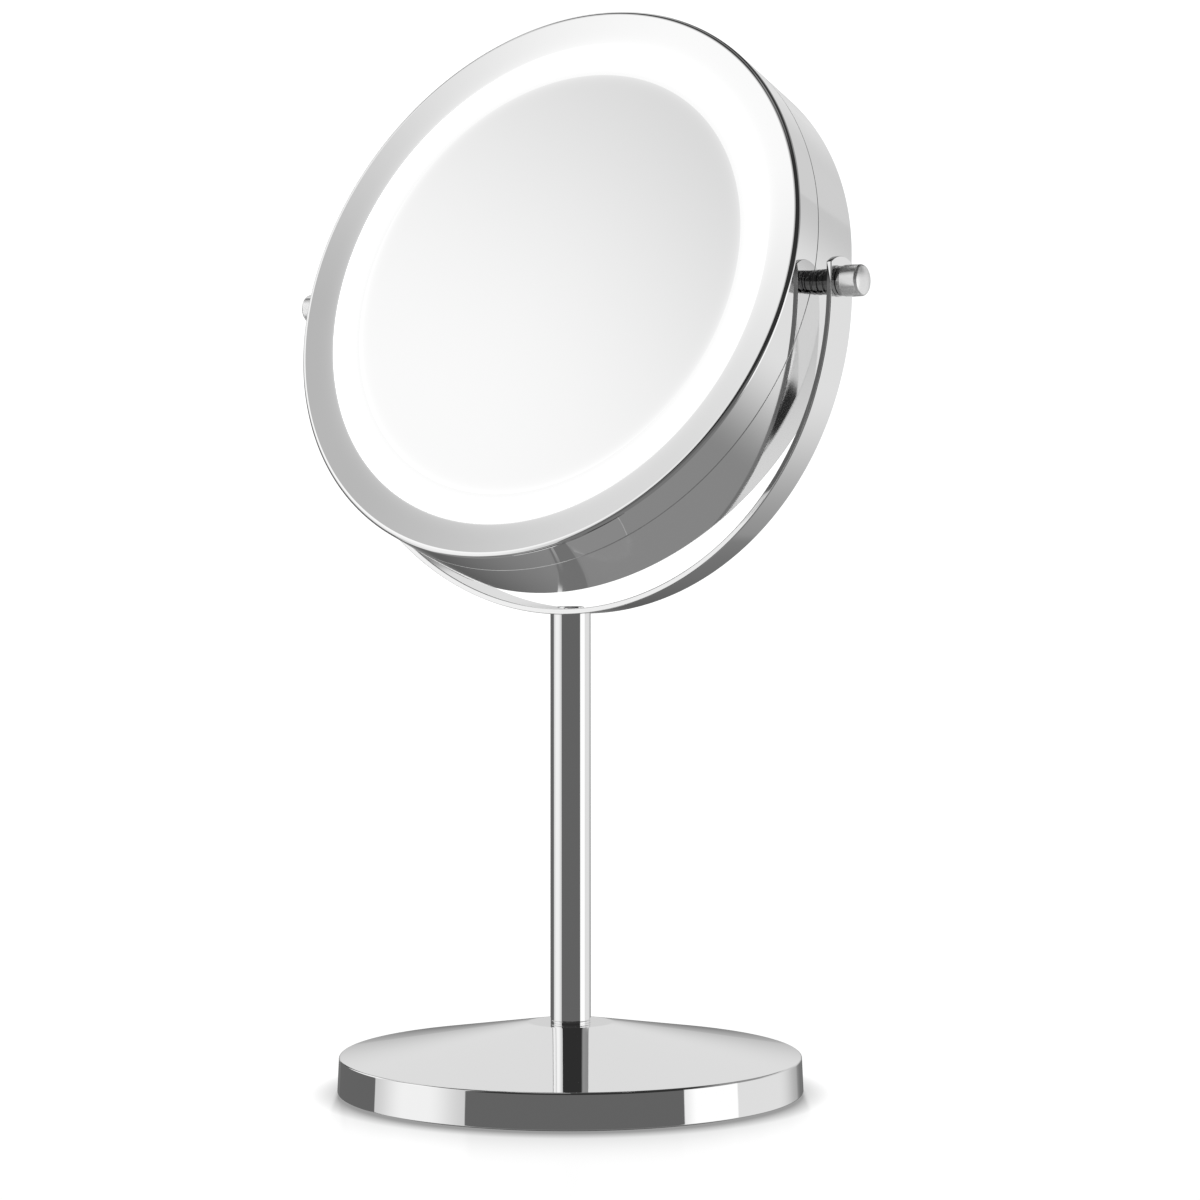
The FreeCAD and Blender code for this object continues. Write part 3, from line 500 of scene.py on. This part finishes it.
def build_yoke():
    cell = 2 * HOLE_REACH / HOLE_CELLS
    edge_column = YOKE_W / 2 - YOKE_EDGE_R - SUPPORT
    hole_columns = [cell * k - HOLE_REACH for k in range(HOLE_CELLS + 1)]
    columns = [-edge_column] + hole_columns + [edge_column]
    section = strip_section(columns)
    rows = yoke_rows(cell)
    mesh = bmesh.new()
    loops = yoke_loops(mesh, section, rows)

    outer_first = EDGE_STEPS + 2             # first hole column on the outer face
    inner_last = 3 * (EDGE_STEPS + 1) + 2 * len(columns)       # and on the inner, counted backwards
    faces = ((YOKE_T, outer_first, 1), (0, inner_last, -1))
    pivot_at = YOKE_IN_R * math.pi / 2 + PIVOT.z / MM - YOKE_CENTRE_Z
    middle = len(rows) - 1                   # the loop at the bottom of the U
    half_patch = HOLE_CELLS // 2
    open_cells = cut_hole(mesh, loops, middle - half_patch, faces, 0.0, SCREW_HOLE_R)
    open_cells |= cut_hole(mesh, loops, middle + CURVE_ROWS, faces, pivot_at, BUSH_R)
    open_cells |= cut_hole(mesh, loops, middle - CURVE_ROWS - HOLE_CELLS, faces, -pivot_at, BUSH_R)

    count = len(section)
    for i in range(len(loops) - 1):
        for j in range(count):
            if (i, j) not in open_cells:
                k = (j + 1) % count
                mesh.faces.new((loops[i][j], loops[i][k], loops[i + 1][k], loops[i + 1][j]))
    half = 2 * (EDGE_STEPS + 1) + len(columns)
    close_end(mesh, loops[0], half)
    close_end(mesh, loops[-1], half)
    finish_piece("yoke_strip", mesh, "yoke")


# ---- pivots and knobs ----------------------------------------------------------------------------
def knob_profile(side):
    centre_x = KNOB_OUT_X - KNOB_DOME_R
    radii = [KNOB_DOME_STEP * k for k in range(KNOB_DOME_ROWS)]
    dome = [(r, centre_x + math.sqrt(KNOB_DOME_R**2 - r * r)) for r in radii]
    rim_x = centre_x + math.sqrt(KNOB_DOME_R**2 - KNOB_R**2)
    bore = NECK_R + RUN_GAP
    side_wall = [(KNOB_R, rim_x, KNOB_RIM_R), (KNOB_R, KNOB_IN_X, KNOB_IN_EDGE_R)]
    profile = dome + side_wall + [(bore, KNOB_IN_X), (bore, KNOB_BORE_X)]
    if side > 0:                             # the switch's spindle reaches into the right knob
        return profile + [(SPINDLE_R, KNOB_BORE_X), (SPINDLE_R, SPINDLE_TIP_X), (0, SPINDLE_TIP_X)]
    return profile + [(0, KNOB_BORE_X)]


def shaft_profile(side):
    thick_from = HEAD_R + SEAT_GAP
    thick_to = YOKE_IN_R - SPRING_T
    groove_from = (thick_from + thick_to - SHAFT_GROOVE_W) / 2
    groove_to = groove_from + SHAFT_GROOVE_W
    bore = SPINDLE_R + RUN_GAP if side > 0 else 0
    return (
        (bore, SHAFT_ROOT_X),
        (NECK_R, SHAFT_ROOT_X, SHAFT_EDGE_R),
        (NECK_R, thick_from),
        (SHAFT_R, thick_from, SHAFT_EDGE_R),
        (SHAFT_R, groove_from, SHAFT_EDGE_R),
        (SHAFT_GROOVE_R, groove_from),
        (SHAFT_GROOVE_R, groove_to),
        (SHAFT_R, groove_to, SHAFT_EDGE_R),
        (SHAFT_R, thick_to, SHAFT_EDGE_R),
        (NECK_R, thick_to),
        (NECK_R, SHAFT_TIP_X, SHAFT_EDGE_R),
        (bore, SHAFT_TIP_X),
    )


def build_pivots():
    collar_in = YOKE_IN_R + YOKE_T + COLLAR_GAP
    collar_out = KNOB_IN_X - COLLAR_GAP
    bore = NECK_R + FIT_GAP
    collar = (
        (bore, collar_in),
        (COLLAR_R, collar_in, COLLAR_EDGE_R),
        (COLLAR_R, collar_out, COLLAR_EDGE_R),
        (bore, collar_out),
    )
    collars = bmesh.new()
    for side, word in ((-1, "left"), (1, "right")):
        place = on_pivot(side)
        turned_piece(f"knob_{word}", knob_profile(side), place, f"{word}_knob", segments=128)
        shaft = shaft_profile(side)
        turned_piece(f"shaft_{word}", shaft, place, f"pivot_shaft_{word}", segments=96, steps=4)
        add_turned(collars, collar, place, segments=96, steps=4)
    finish_piece("collars", collars, "pivot_collars")


# ---- node helpers -------------------------------------------------------------------
class Nodes:
    """A node tree with short ways to add and join nodes."""

    def __init__(self, tree):
        self.tree = tree
        self.tree.nodes.clear()

    def add(self, kind, inputs=None, **settings):
        node = self.tree.nodes.new(kind)
        for name, value in settings.items():
            setattr(node, name, value)
        for key, value in (inputs or {}).items():
            self.put(node.inputs[key], value)
        return node

    def put(self, socket, value):
        if isinstance(value, bpy.types.NodeSocket):
            self.tree.links.new(value, socket)
        else:
            socket.default_value = value

    def math(self, operation, *values):
        node = self.tree.nodes.new("ShaderNodeMath")
        node.operation = operation
        for socket, value in zip(node.inputs, values):
            self.put(socket, value)
        return node.outputs[0]

    def vector(self, operation, *values):
        node = self.tree.nodes.new("ShaderNodeVectorMath")
        node.operation = operation
        for socket, value in zip(node.inputs, values):
            self.put(socket, value)
        return node.outputs["Value"] if operation in ("DOT_PRODUCT", "LENGTH") else node.outputs[0]

    def ramp(self, value, low, high, out_low=0.0, out_high=1.0, smooth=True):
        kind = "SMOOTHSTEP" if smooth else "LINEAR"
        inputs = {
            "Value": value,
            "From Min": low,
            "From Max": high,
            "To Min": out_low,
            "To Max": out_high,
        }
        node = self.add("ShaderNodeMapRange", inputs, interpolation_type=kind, clamp=True)
        return node.outputs[0]

    def noise(self, scale, detail=4.0, vector=None, rough=0.5):
        node = self.add("ShaderNodeTexNoise", {"Scale": scale, "Detail": detail, "Roughness": rough})
        if vector is not None:
            self.put(node.inputs["Vector"], vector)
        return node.outputs["Fac"]

    def place(self):
        return self.add("ShaderNodeTexCoord").outputs["Object"]

    def bump(self, strength, distance, height, **others):
        inputs = {"Strength": strength, "Distance": distance, "Height": height, **others}
        return self.add("ShaderNodeBump", inputs).outputs[0]

    def surface(self, colour, roughness, **others):
        """A Principled shader; names of other sockets are written with _ for a space."""
        inputs = {"Base Color": colour, "Roughness": roughness}
        inputs.update({name.replace("_", " "): value for name, value in others.items()})
        return self.add("ShaderNodeBsdfPrincipled", inputs)


# ---- studio ---------------------------------------------------------------------------
# What the chrome mirrors: soft cards that stand in the room round the object, later rows over
# earlier ones. Angles are in degrees: azimuth from the front view (positive to its right, and up
# to 360 round the back) and elevation. The soft widths belong to the low and the high edge.
HALF_TURN = 180
SKY_BASE = 0.25
SKY_CARDS = (
    # azimuth low, high, soft, soft; elevation low, high, soft, soft; brightness
    ((-115, 100, 6, 6), (-91, -30, 1, 6), 0.185),          # ground in front
    ((91, 251, 1, 1), (22, 91, 8, 1), 0.28),               # ceiling behind
    ((-181, 181, 1, 1), (43, 91, 6, 1), 0.04),             # dark overhead
    ((91, 150, 1, 6), (38, 51, 4, 4), 0.28),               # ceiling's edge on the right
    ((-53, 78, 1, 16), (2.5, 66, 5, 10), 0.03),            # dark above the camera
    ((83, 108, 4, 10), (12, 46, 4, 10), 0.30),
    ((150, 215, 4, 4), (-30, 2, 50, 1), 0.10),             # low behind
    ((162, 201, 2, 3), (1.2, 32, 32, 5), 0.76),            # back wall
    ((144, 163, 10, 2), (0.7, 24, 32, 4), 0.74),
    ((88.5, 141, 1, 38), (-29, 24, 28, 3), 0.78),          # right wall
    ((88.5, 150, 1, 30), (11, 26, 12, 3), 0.59),
    ((91, 150, 1, 20), (17.3, 26, 0.5, 3), 0.65),
    ((91, 114, 1, 8), (14, 26, 2, 3), 0.28),
    ((201, 251, 5, 1), (-30, 35, 6, 5), 0.13),             # gap behind on the left
    ((199, 212, 3, 4), (13, 24, 3, 5), 0.03),
    ((-146, -106, 6, 3), (12, 36, 5, 6), 0.95),            # bright cards further behind
    ((185, 225, 8, 6), (38, 58, 6, 6), 0.95),
    ((-110.5, -52, 1, 1), (-28, 48, 4, 4), 0.50),          # left card, brighter in its middle
    ((-110.5, -92, 1, 37), (-28, 48, 4, 4), 0.70),
    ((-110.5, -52, 1, 1), (-28, 32, 4, 14), 0.64),
    ((-100, -62, 24, 24), (-28, 32, 4, 14), 0.94),
    ((-100, -74, 16, 16), (14, 39, 12, 14), 1.03),
    ((-128, -60, 4, 10), (50, 80, 3, 10), 0.05),           # dark above it
    ((-130, -84, 10, 10), (-39, -27, 4, 3), 0.85),         # pale ground below it
    ((-88, -52, 3, 3), (-37, -27, 4, 3), 0.80),
    ((-86, -58, 6, 6), (-70, -48, 6, 6), 0.35),
    ((-52, 57, 0.6, 0.6), (-30, 2.5, 5, 5), 0.13),         # dark round the camera
    ((57, 89, 0.6, 1), (-26, 12, 8, 4), 1.08),             # bright card on the right
    ((56.5, 60, 0.6, 8), (-26, 12, 8, 4), 0.88),
)
WHITE = 1.15              # background brightness as the camera sees it
BACKDROP_R = 9.0          # metres, as the rest of the studio
FLOOR_R = 7.0
FLOOR_Z = -0.0002
FLOOR_GLOW = 0.98         # the floor's own light, so that it is evenly white
LONG_PAINTED_SHADE = 0.28         # painted shadow: how much darker right in front of the base
SHADE_DEPTH = 0.052       # where that painted shadow ends
SHADE_EDGE = 0.001
CONTACT_PAINTED_SHADE = 0.38      # painted shadow: how much darker all round the base's edge
CONTACT_DEPTH = 0.0085


def front_and_side(nodes, vector):
    """How far a place or direction lies towards the front view, and to its right."""
    azimuth = math.radians(CAMERA_AZIMUTH)
    ahead = nodes.vector("DOT_PRODUCT", vector, (math.sin(azimuth), -math.cos(azimuth), 0))
    aside = nodes.vector("DOT_PRODUCT", vector, (math.cos(azimuth), math.sin(azimuth), 0))
    return ahead, aside


def sky_window(nodes, value, edges):
    """1 between the two edges and 0 outside, with their soft widths."""
    low, high, low_soft, high_soft = edges
    rise = nodes.ramp(value, low - low_soft / 2, low + low_soft / 2)
    fall = nodes.ramp(value, high - high_soft / 2, high + high_soft / 2, 1.0, 0.0)
    return nodes.math("MULTIPLY", rise, fall)


def add_sky():
    world = bpy.data.worlds.new("studio")
    bpy.context.scene.world = world
    world.use_nodes = True
    nodes = Nodes(world.node_tree)
    direction = nodes.add("ShaderNodeTexCoord").outputs["Generated"]
    ahead, aside = front_and_side(nodes, direction)
    around = nodes.math("DEGREES", nodes.math("ARCTAN2", aside, ahead))
    is_left = nodes.math("LESS_THAN", around, 0.0)
    full_turn = nodes.math("ADD", around, nodes.math("MULTIPLY", is_left, 360.0))
    height = nodes.vector("DOT_PRODUCT", direction, (0, 0, 1))
    above = nodes.math("DEGREES", nodes.math("ARCSINE", height))
    level = SKY_BASE
    for across, upwards, brightness in SKY_CARDS:
        turn = full_turn if across[1] > HALF_TURN else around
        width = sky_window(nodes, turn, across)
        mask = nodes.math("MULTIPLY", width, sky_window(nodes, above, upwards))
        mix = nodes.add("ShaderNodeMix", data_type="FLOAT")
        nodes.put(mix.inputs[0], mask)
        nodes.put(mix.inputs[2], level)
        nodes.put(mix.inputs[3], brightness)
        level = mix.outputs[0]
    glow = nodes.add("ShaderNodeBackground", {"Color": (1, 1, 1, 1), "Strength": level})
    nodes.put(nodes.add("ShaderNodeOutputWorld").inputs[0], glow.outputs[0])


def hide_from_reflections(obj):
    obj.visible_glossy = False
    obj.visible_transmission = False


def disc_mesh(name, radius, z, segments=96):
    mesh = bpy.data.meshes.new(name)
    turns = [2 * math.pi * i / segments for i in range(segments)]
    points = [(radius * math.cos(t), radius * math.sin(t), z) for t in turns]
    mesh.from_pydata(points, [], [range(segments)])
    return mesh


def painted_floor_shadow(nodes, place):
    """Painted shadow on the floor: a soft dark line all round the base's foot, and a longer, fainter shade
    in front of it.
    """
    foot = BASE_FOOT_R * MM
    ahead, aside = front_and_side(nodes, place)
    aside = nodes.math("ABSOLUTE", aside)
    squared = nodes.math("SUBTRACT", foot**2, nodes.math("MULTIPLY", aside, aside))
    chord = nodes.math("SQRT", nodes.math("MAXIMUM", squared, 0.0))
    from_edge = nodes.math("SUBTRACT", ahead, chord)
    fade = nodes.ramp(from_edge, 0.0, SHADE_DEPTH, 1.0, 0.0, smooth=False)
    in_front = nodes.ramp(aside, foot - SHADE_EDGE, foot + SHADE_EDGE, LONG_PAINTED_SHADE, 0.0)
    in_front = nodes.math("MULTIPLY", in_front, nodes.math("GREATER_THAN", ahead, 0.0))
    long_painted_shade = nodes.math("MULTIPLY", nodes.math("MULTIPLY", fade, fade), in_front)
    away = nodes.math("SUBTRACT", nodes.vector("LENGTH", place), foot)
    contact_painted_shade = nodes.ramp(away, 0.0, CONTACT_DEPTH, CONTACT_PAINTED_SHADE, 0.0, smooth=False)
    return nodes.math("ADD", long_painted_shade, contact_painted_shade)


def add_floor():
    """Pale matt table with a soft painted shadow."""
    floor = bpy.data.objects.new("floor", disc_mesh("floor", FLOOR_R, FLOOR_Z))
    bpy.context.scene.collection.objects.link(floor)
    material, nodes = new_material("floor_white")
    place = nodes.place()
    speck = nodes.noise(900.0, 2.0, place)
    surface = nodes.surface(
        (0.05, 0.05, 0.05, 1),
        nodes.ramp(speck, 0.3, 0.7, 0.2, 0.24),
        Specular_IOR_Level=0.005,
    )
    # the floor's even glow, less the painted shadow round and in front of the base
    shine(nodes, surface, nodes.math("SUBTRACT", FLOOR_GLOW, painted_floor_shadow(nodes, place)))
    finish_material(nodes, surface)
    floor.data.materials.append(material)
    hide_from_reflections(floor)


def add_backdrop():
    """A white dome that only the camera sees."""
    mesh = bpy.data.meshes.new("backdrop")
    shell = bmesh.new()
    bmesh.ops.create_uvsphere(shell, u_segments=48, v_segments=24, radius=BACKDROP_R)
    shell.to_mesh(mesh)
    shell.free()
    dome = bpy.data.objects.new("backdrop", mesh)
    bpy.context.scene.collection.objects.link(dome)
    material, nodes = new_material("backdrop_white")
    finish_material(nodes, nodes.add("ShaderNodeEmission", {"Strength": WHITE}))
    mesh.materials.append(material)
    hide_from_reflections(dome)
    dome.visible_diffuse = False
    dome.visible_shadow = False


# ---- materials ---------------------------------------------------------------------------
def new_material(name):
    material = bpy.data.materials.new(name)
    material.use_nodes = True
    return material, Nodes(material.node_tree)


def finish_material(nodes, shader):
    nodes.put(nodes.add("ShaderNodeOutputMaterial").inputs[0], shader.outputs[0])


def head_radius(nodes):
    """Distance from the head's own axis, in millimetres."""
    offset = nodes.vector("SUBTRACT", nodes.place(), HEAD_CENTRE)
    across = nodes.vector("CROSS_PRODUCT", offset, HEAD_AXIS)
    return nodes.math("DIVIDE", nodes.vector("LENGTH", across), MM)


def painted_halo(nodes, distance, strength, fade):
    """Painted glow standing for spilt ring light, dying away with the distance in millimetres."""
    outside = nodes.math("MAXIMUM", distance, 0.0)
    decay = nodes.math("EXPONENT", nodes.math("DIVIDE", outside, -fade))
    return nodes.math("MULTIPLY", decay, strength)


def shine(nodes, shader, strength):
    shader.inputs["Emission Color"].default_value = (1, 1, 1, 1)
    nodes.put(shader.inputs["Emission Strength"], strength)


def grey(level):
    return (level, level, level, 1)


def chrome(name, tint=0.93, smooth=0.012, rough=0.035, metal=1.0, painted_ring_glow=False, turning_marks=0.0):
    """Polished chrome with faint hand marks in its gloss, and rings from the lathe on small parts."""
    material, nodes = new_material(name)
    place = nodes.place()
    marks = nodes.ramp(nodes.noise(38.0, 6.0, place, 0.6), 0.45, 0.8, smooth, rough)
    fine = nodes.ramp(nodes.noise(900.0, 2.0, place), 0.3, 0.7, 0.0, 0.004)
    normal = nodes.bump(0.04, 0.0004, nodes.noise(60.0, 2.0, place))
    if turning_marks:
        rings = nodes.noise(3500.0, 1.0, nodes.vector("MULTIPLY", place, (1, 0, 0)))
        normal = nodes.bump(turning_marks, 0.0001, rings, Normal=normal)
    gloss = nodes.math("ADD", marks, fine)
    shader = nodes.surface(grey(tint), gloss, Metallic=metal, Normal=normal)
    # painted glow: emission on the bezel stands for ring light spilt onto it, brightest at the opening's
    # edge
    if painted_ring_glow:
        from_ring = nodes.math("SUBTRACT", head_radius(nodes), OPENING_R)
        painted_spill = painted_halo(nodes, from_ring, 0.10, 1.8)
        painted_edge_glow = painted_halo(nodes, from_ring, 0.9, 0.12)
        shine(nodes, shader, nodes.math("ADD", painted_spill, painted_edge_glow))
    finish_material(nodes, shader)
    return material


def silver_glass(name, painted_ring_glow=False):
    material, nodes = new_material(name)
    dust = nodes.noise(260.0, 5.0, nodes.place())
    shader = nodes.surface(grey(0.93), nodes.ramp(dust, 0.55, 0.85, 0.0, 0.02), Metallic=1.0)
    # painted glow: emission on the mirror stands for ring light spilt onto it next to the lit ring
    if painted_ring_glow:
        from_ring = nodes.math("SUBTRACT", RING_IN_R, head_radius(nodes))
        shine(nodes, shader, painted_halo(nodes, from_ring, 0.12, 1.3))
    finish_material(nodes, shader)
    return material


def opal_ring(name):
    """Lit opal glass, a little less bright towards both edges."""
    material, nodes = new_material(name)
    radius = head_radius(nodes)
    grain = nodes.noise(1500.0, 2.0)
    inner = nodes.ramp(radius, RING_IN_R - 0.5, RING_IN_R + 4.0, 0.90, 1.0)
    outer = nodes.ramp(radius, OPENING_R - 4.0, OPENING_R + 0.3, 1.0, 0.93)
    shader = nodes.surface(grey(0.08), nodes.ramp(grain, 0.3, 0.7, 0.4, 0.5))
    shine(nodes, shader, nodes.math("MULTIPLY", inner, outer))
    finish_material(nodes, shader)
    return material


def lamp_lens(name):
    material, nodes = new_material(name)
    grain = nodes.noise(1500.0, 2.0)
    shader = nodes.surface((0.9, 0.88, 0.7, 1), nodes.ramp(grain, 0.3, 0.7, 0.2, 0.3))
    shine(nodes, shader, nodes.ramp(grain, 0.2, 0.8, 1.9, 2.0))
    finish_material(nodes, shader)
    return material


def moulded(name, colour, rough=0.45, grain=700.0, depth=0.00005, metal=0.0):
    """Plain plastic, rubber, foam or bare metal with a fine surface grain."""
    material, nodes = new_material(name)
    place = nodes.place()
    texture = nodes.noise(grain, 4.0, place)
    patchy = nodes.noise(45.0, 3.0, place)
    tone = nodes.add("ShaderNodeMix", data_type="RGBA")
    nodes.put(tone.inputs[0], nodes.ramp(patchy, 0.35, 0.65))
    nodes.put(tone.inputs[6], (*[c * 0.9 for c in colour], 1))
    nodes.put(tone.inputs[7], (*colour, 1))
    shader = nodes.surface(
        tone.outputs[2],
        nodes.ramp(texture, 0.3, 0.7, rough * 0.85, rough * 1.1),
        Metallic=metal,
        Normal=nodes.bump(0.4, depth, texture),
    )
    finish_material(nodes, shader)
    return material


def make_materials():
    return {
        "chrome_shell": chrome("chrome_shell"),
        "chrome_stem": chrome("chrome_stem"),
        "chrome_yoke": chrome("chrome_yoke"),
        "chrome_housing": chrome("chrome_housing", smooth=0.07, rough=0.09),
        "chrome_bezel": chrome("chrome_bezel"),
        "chrome_knob": chrome("chrome_knob", smooth=0.2, rough=0.26, metal=0.78, turning_marks=0.12),
        "chrome_trim": chrome("chrome_trim"),
        "mirror": silver_glass("mirror"),
        "lit_diffuser": opal_ring("lit_diffuser"),
        "lamp": lamp_lens("lamp"),
        "white_plastic": moulded("white_plastic", (0.86, 0.86, 0.85), 0.35),
        "foam": moulded("foam", (0.05, 0.05, 0.055), 0.9, 1800.0, 0.0002),
        "foot_pad": moulded("foot_pad", (0.03, 0.03, 0.032), 0.85, 1500.0, 0.0002),
        "cast_weight": moulded("cast_weight", (0.12, 0.12, 0.125), 0.7, 500.0, 0.0003, 0.8),
        "steel": moulded("steel", (0.55, 0.55, 0.56), 0.3, 900.0, 0.00002, 1.0),
        "brass": moulded("brass", (0.75, 0.56, 0.24), 0.25, 900.0, 0.00002, 1.0),
        "nylon": moulded("nylon", (0.82, 0.81, 0.76), 0.5),
        "black_plastic": moulded("black_plastic", (0.02, 0.02, 0.022), 0.5),
        "circuit_board": moulded("circuit_board", (0.8, 0.81, 0.78), 0.4),
        "battery_case": moulded("battery_case", (0.12, 0.14, 0.18), 0.3, 300.0),
        "red_wire": moulded("red_wire", (0.5, 0.03, 0.02), 0.4),
        "black_wire": moulded("black_wire", (0.02, 0.02, 0.02), 0.4),
    }


def dress():
    """Every CAD node and piece gets its slot's material; two have a painted glow of ring light, and the
    shafts are darker.
    """
    made = make_materials()
    shaft = chrome("chrome_shaft", tint=0.5, turning_marks=0.1)
    special = {
        "front_bezel": chrome("chrome_bezel_painted_glow", painted_ring_glow=True),
        "centre_mirror": silver_glass("mirror_painted_glow", painted_ring_glow=True),
        "pivot_shaft_left": shaft,
        "pivot_shaft_right": shaft,
    }
    for name, node in frame["nodes"].items():
        node.data.materials.clear()
        node.data.materials.append(special.get(name) or made[SLOTS[name]])
    for piece in bpy.data.objects:
        for name in piece.get("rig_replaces", []):
            piece.data.materials.append(special.get(name) or made[SLOTS[name]])


bpy.context.scene.view_settings.view_transform = "Standard"
add_camera()
add_sky()
add_floor()
add_backdrop()
build_head()
build_base()
build_stem()
build_yoke()
build_pivots()
dress()
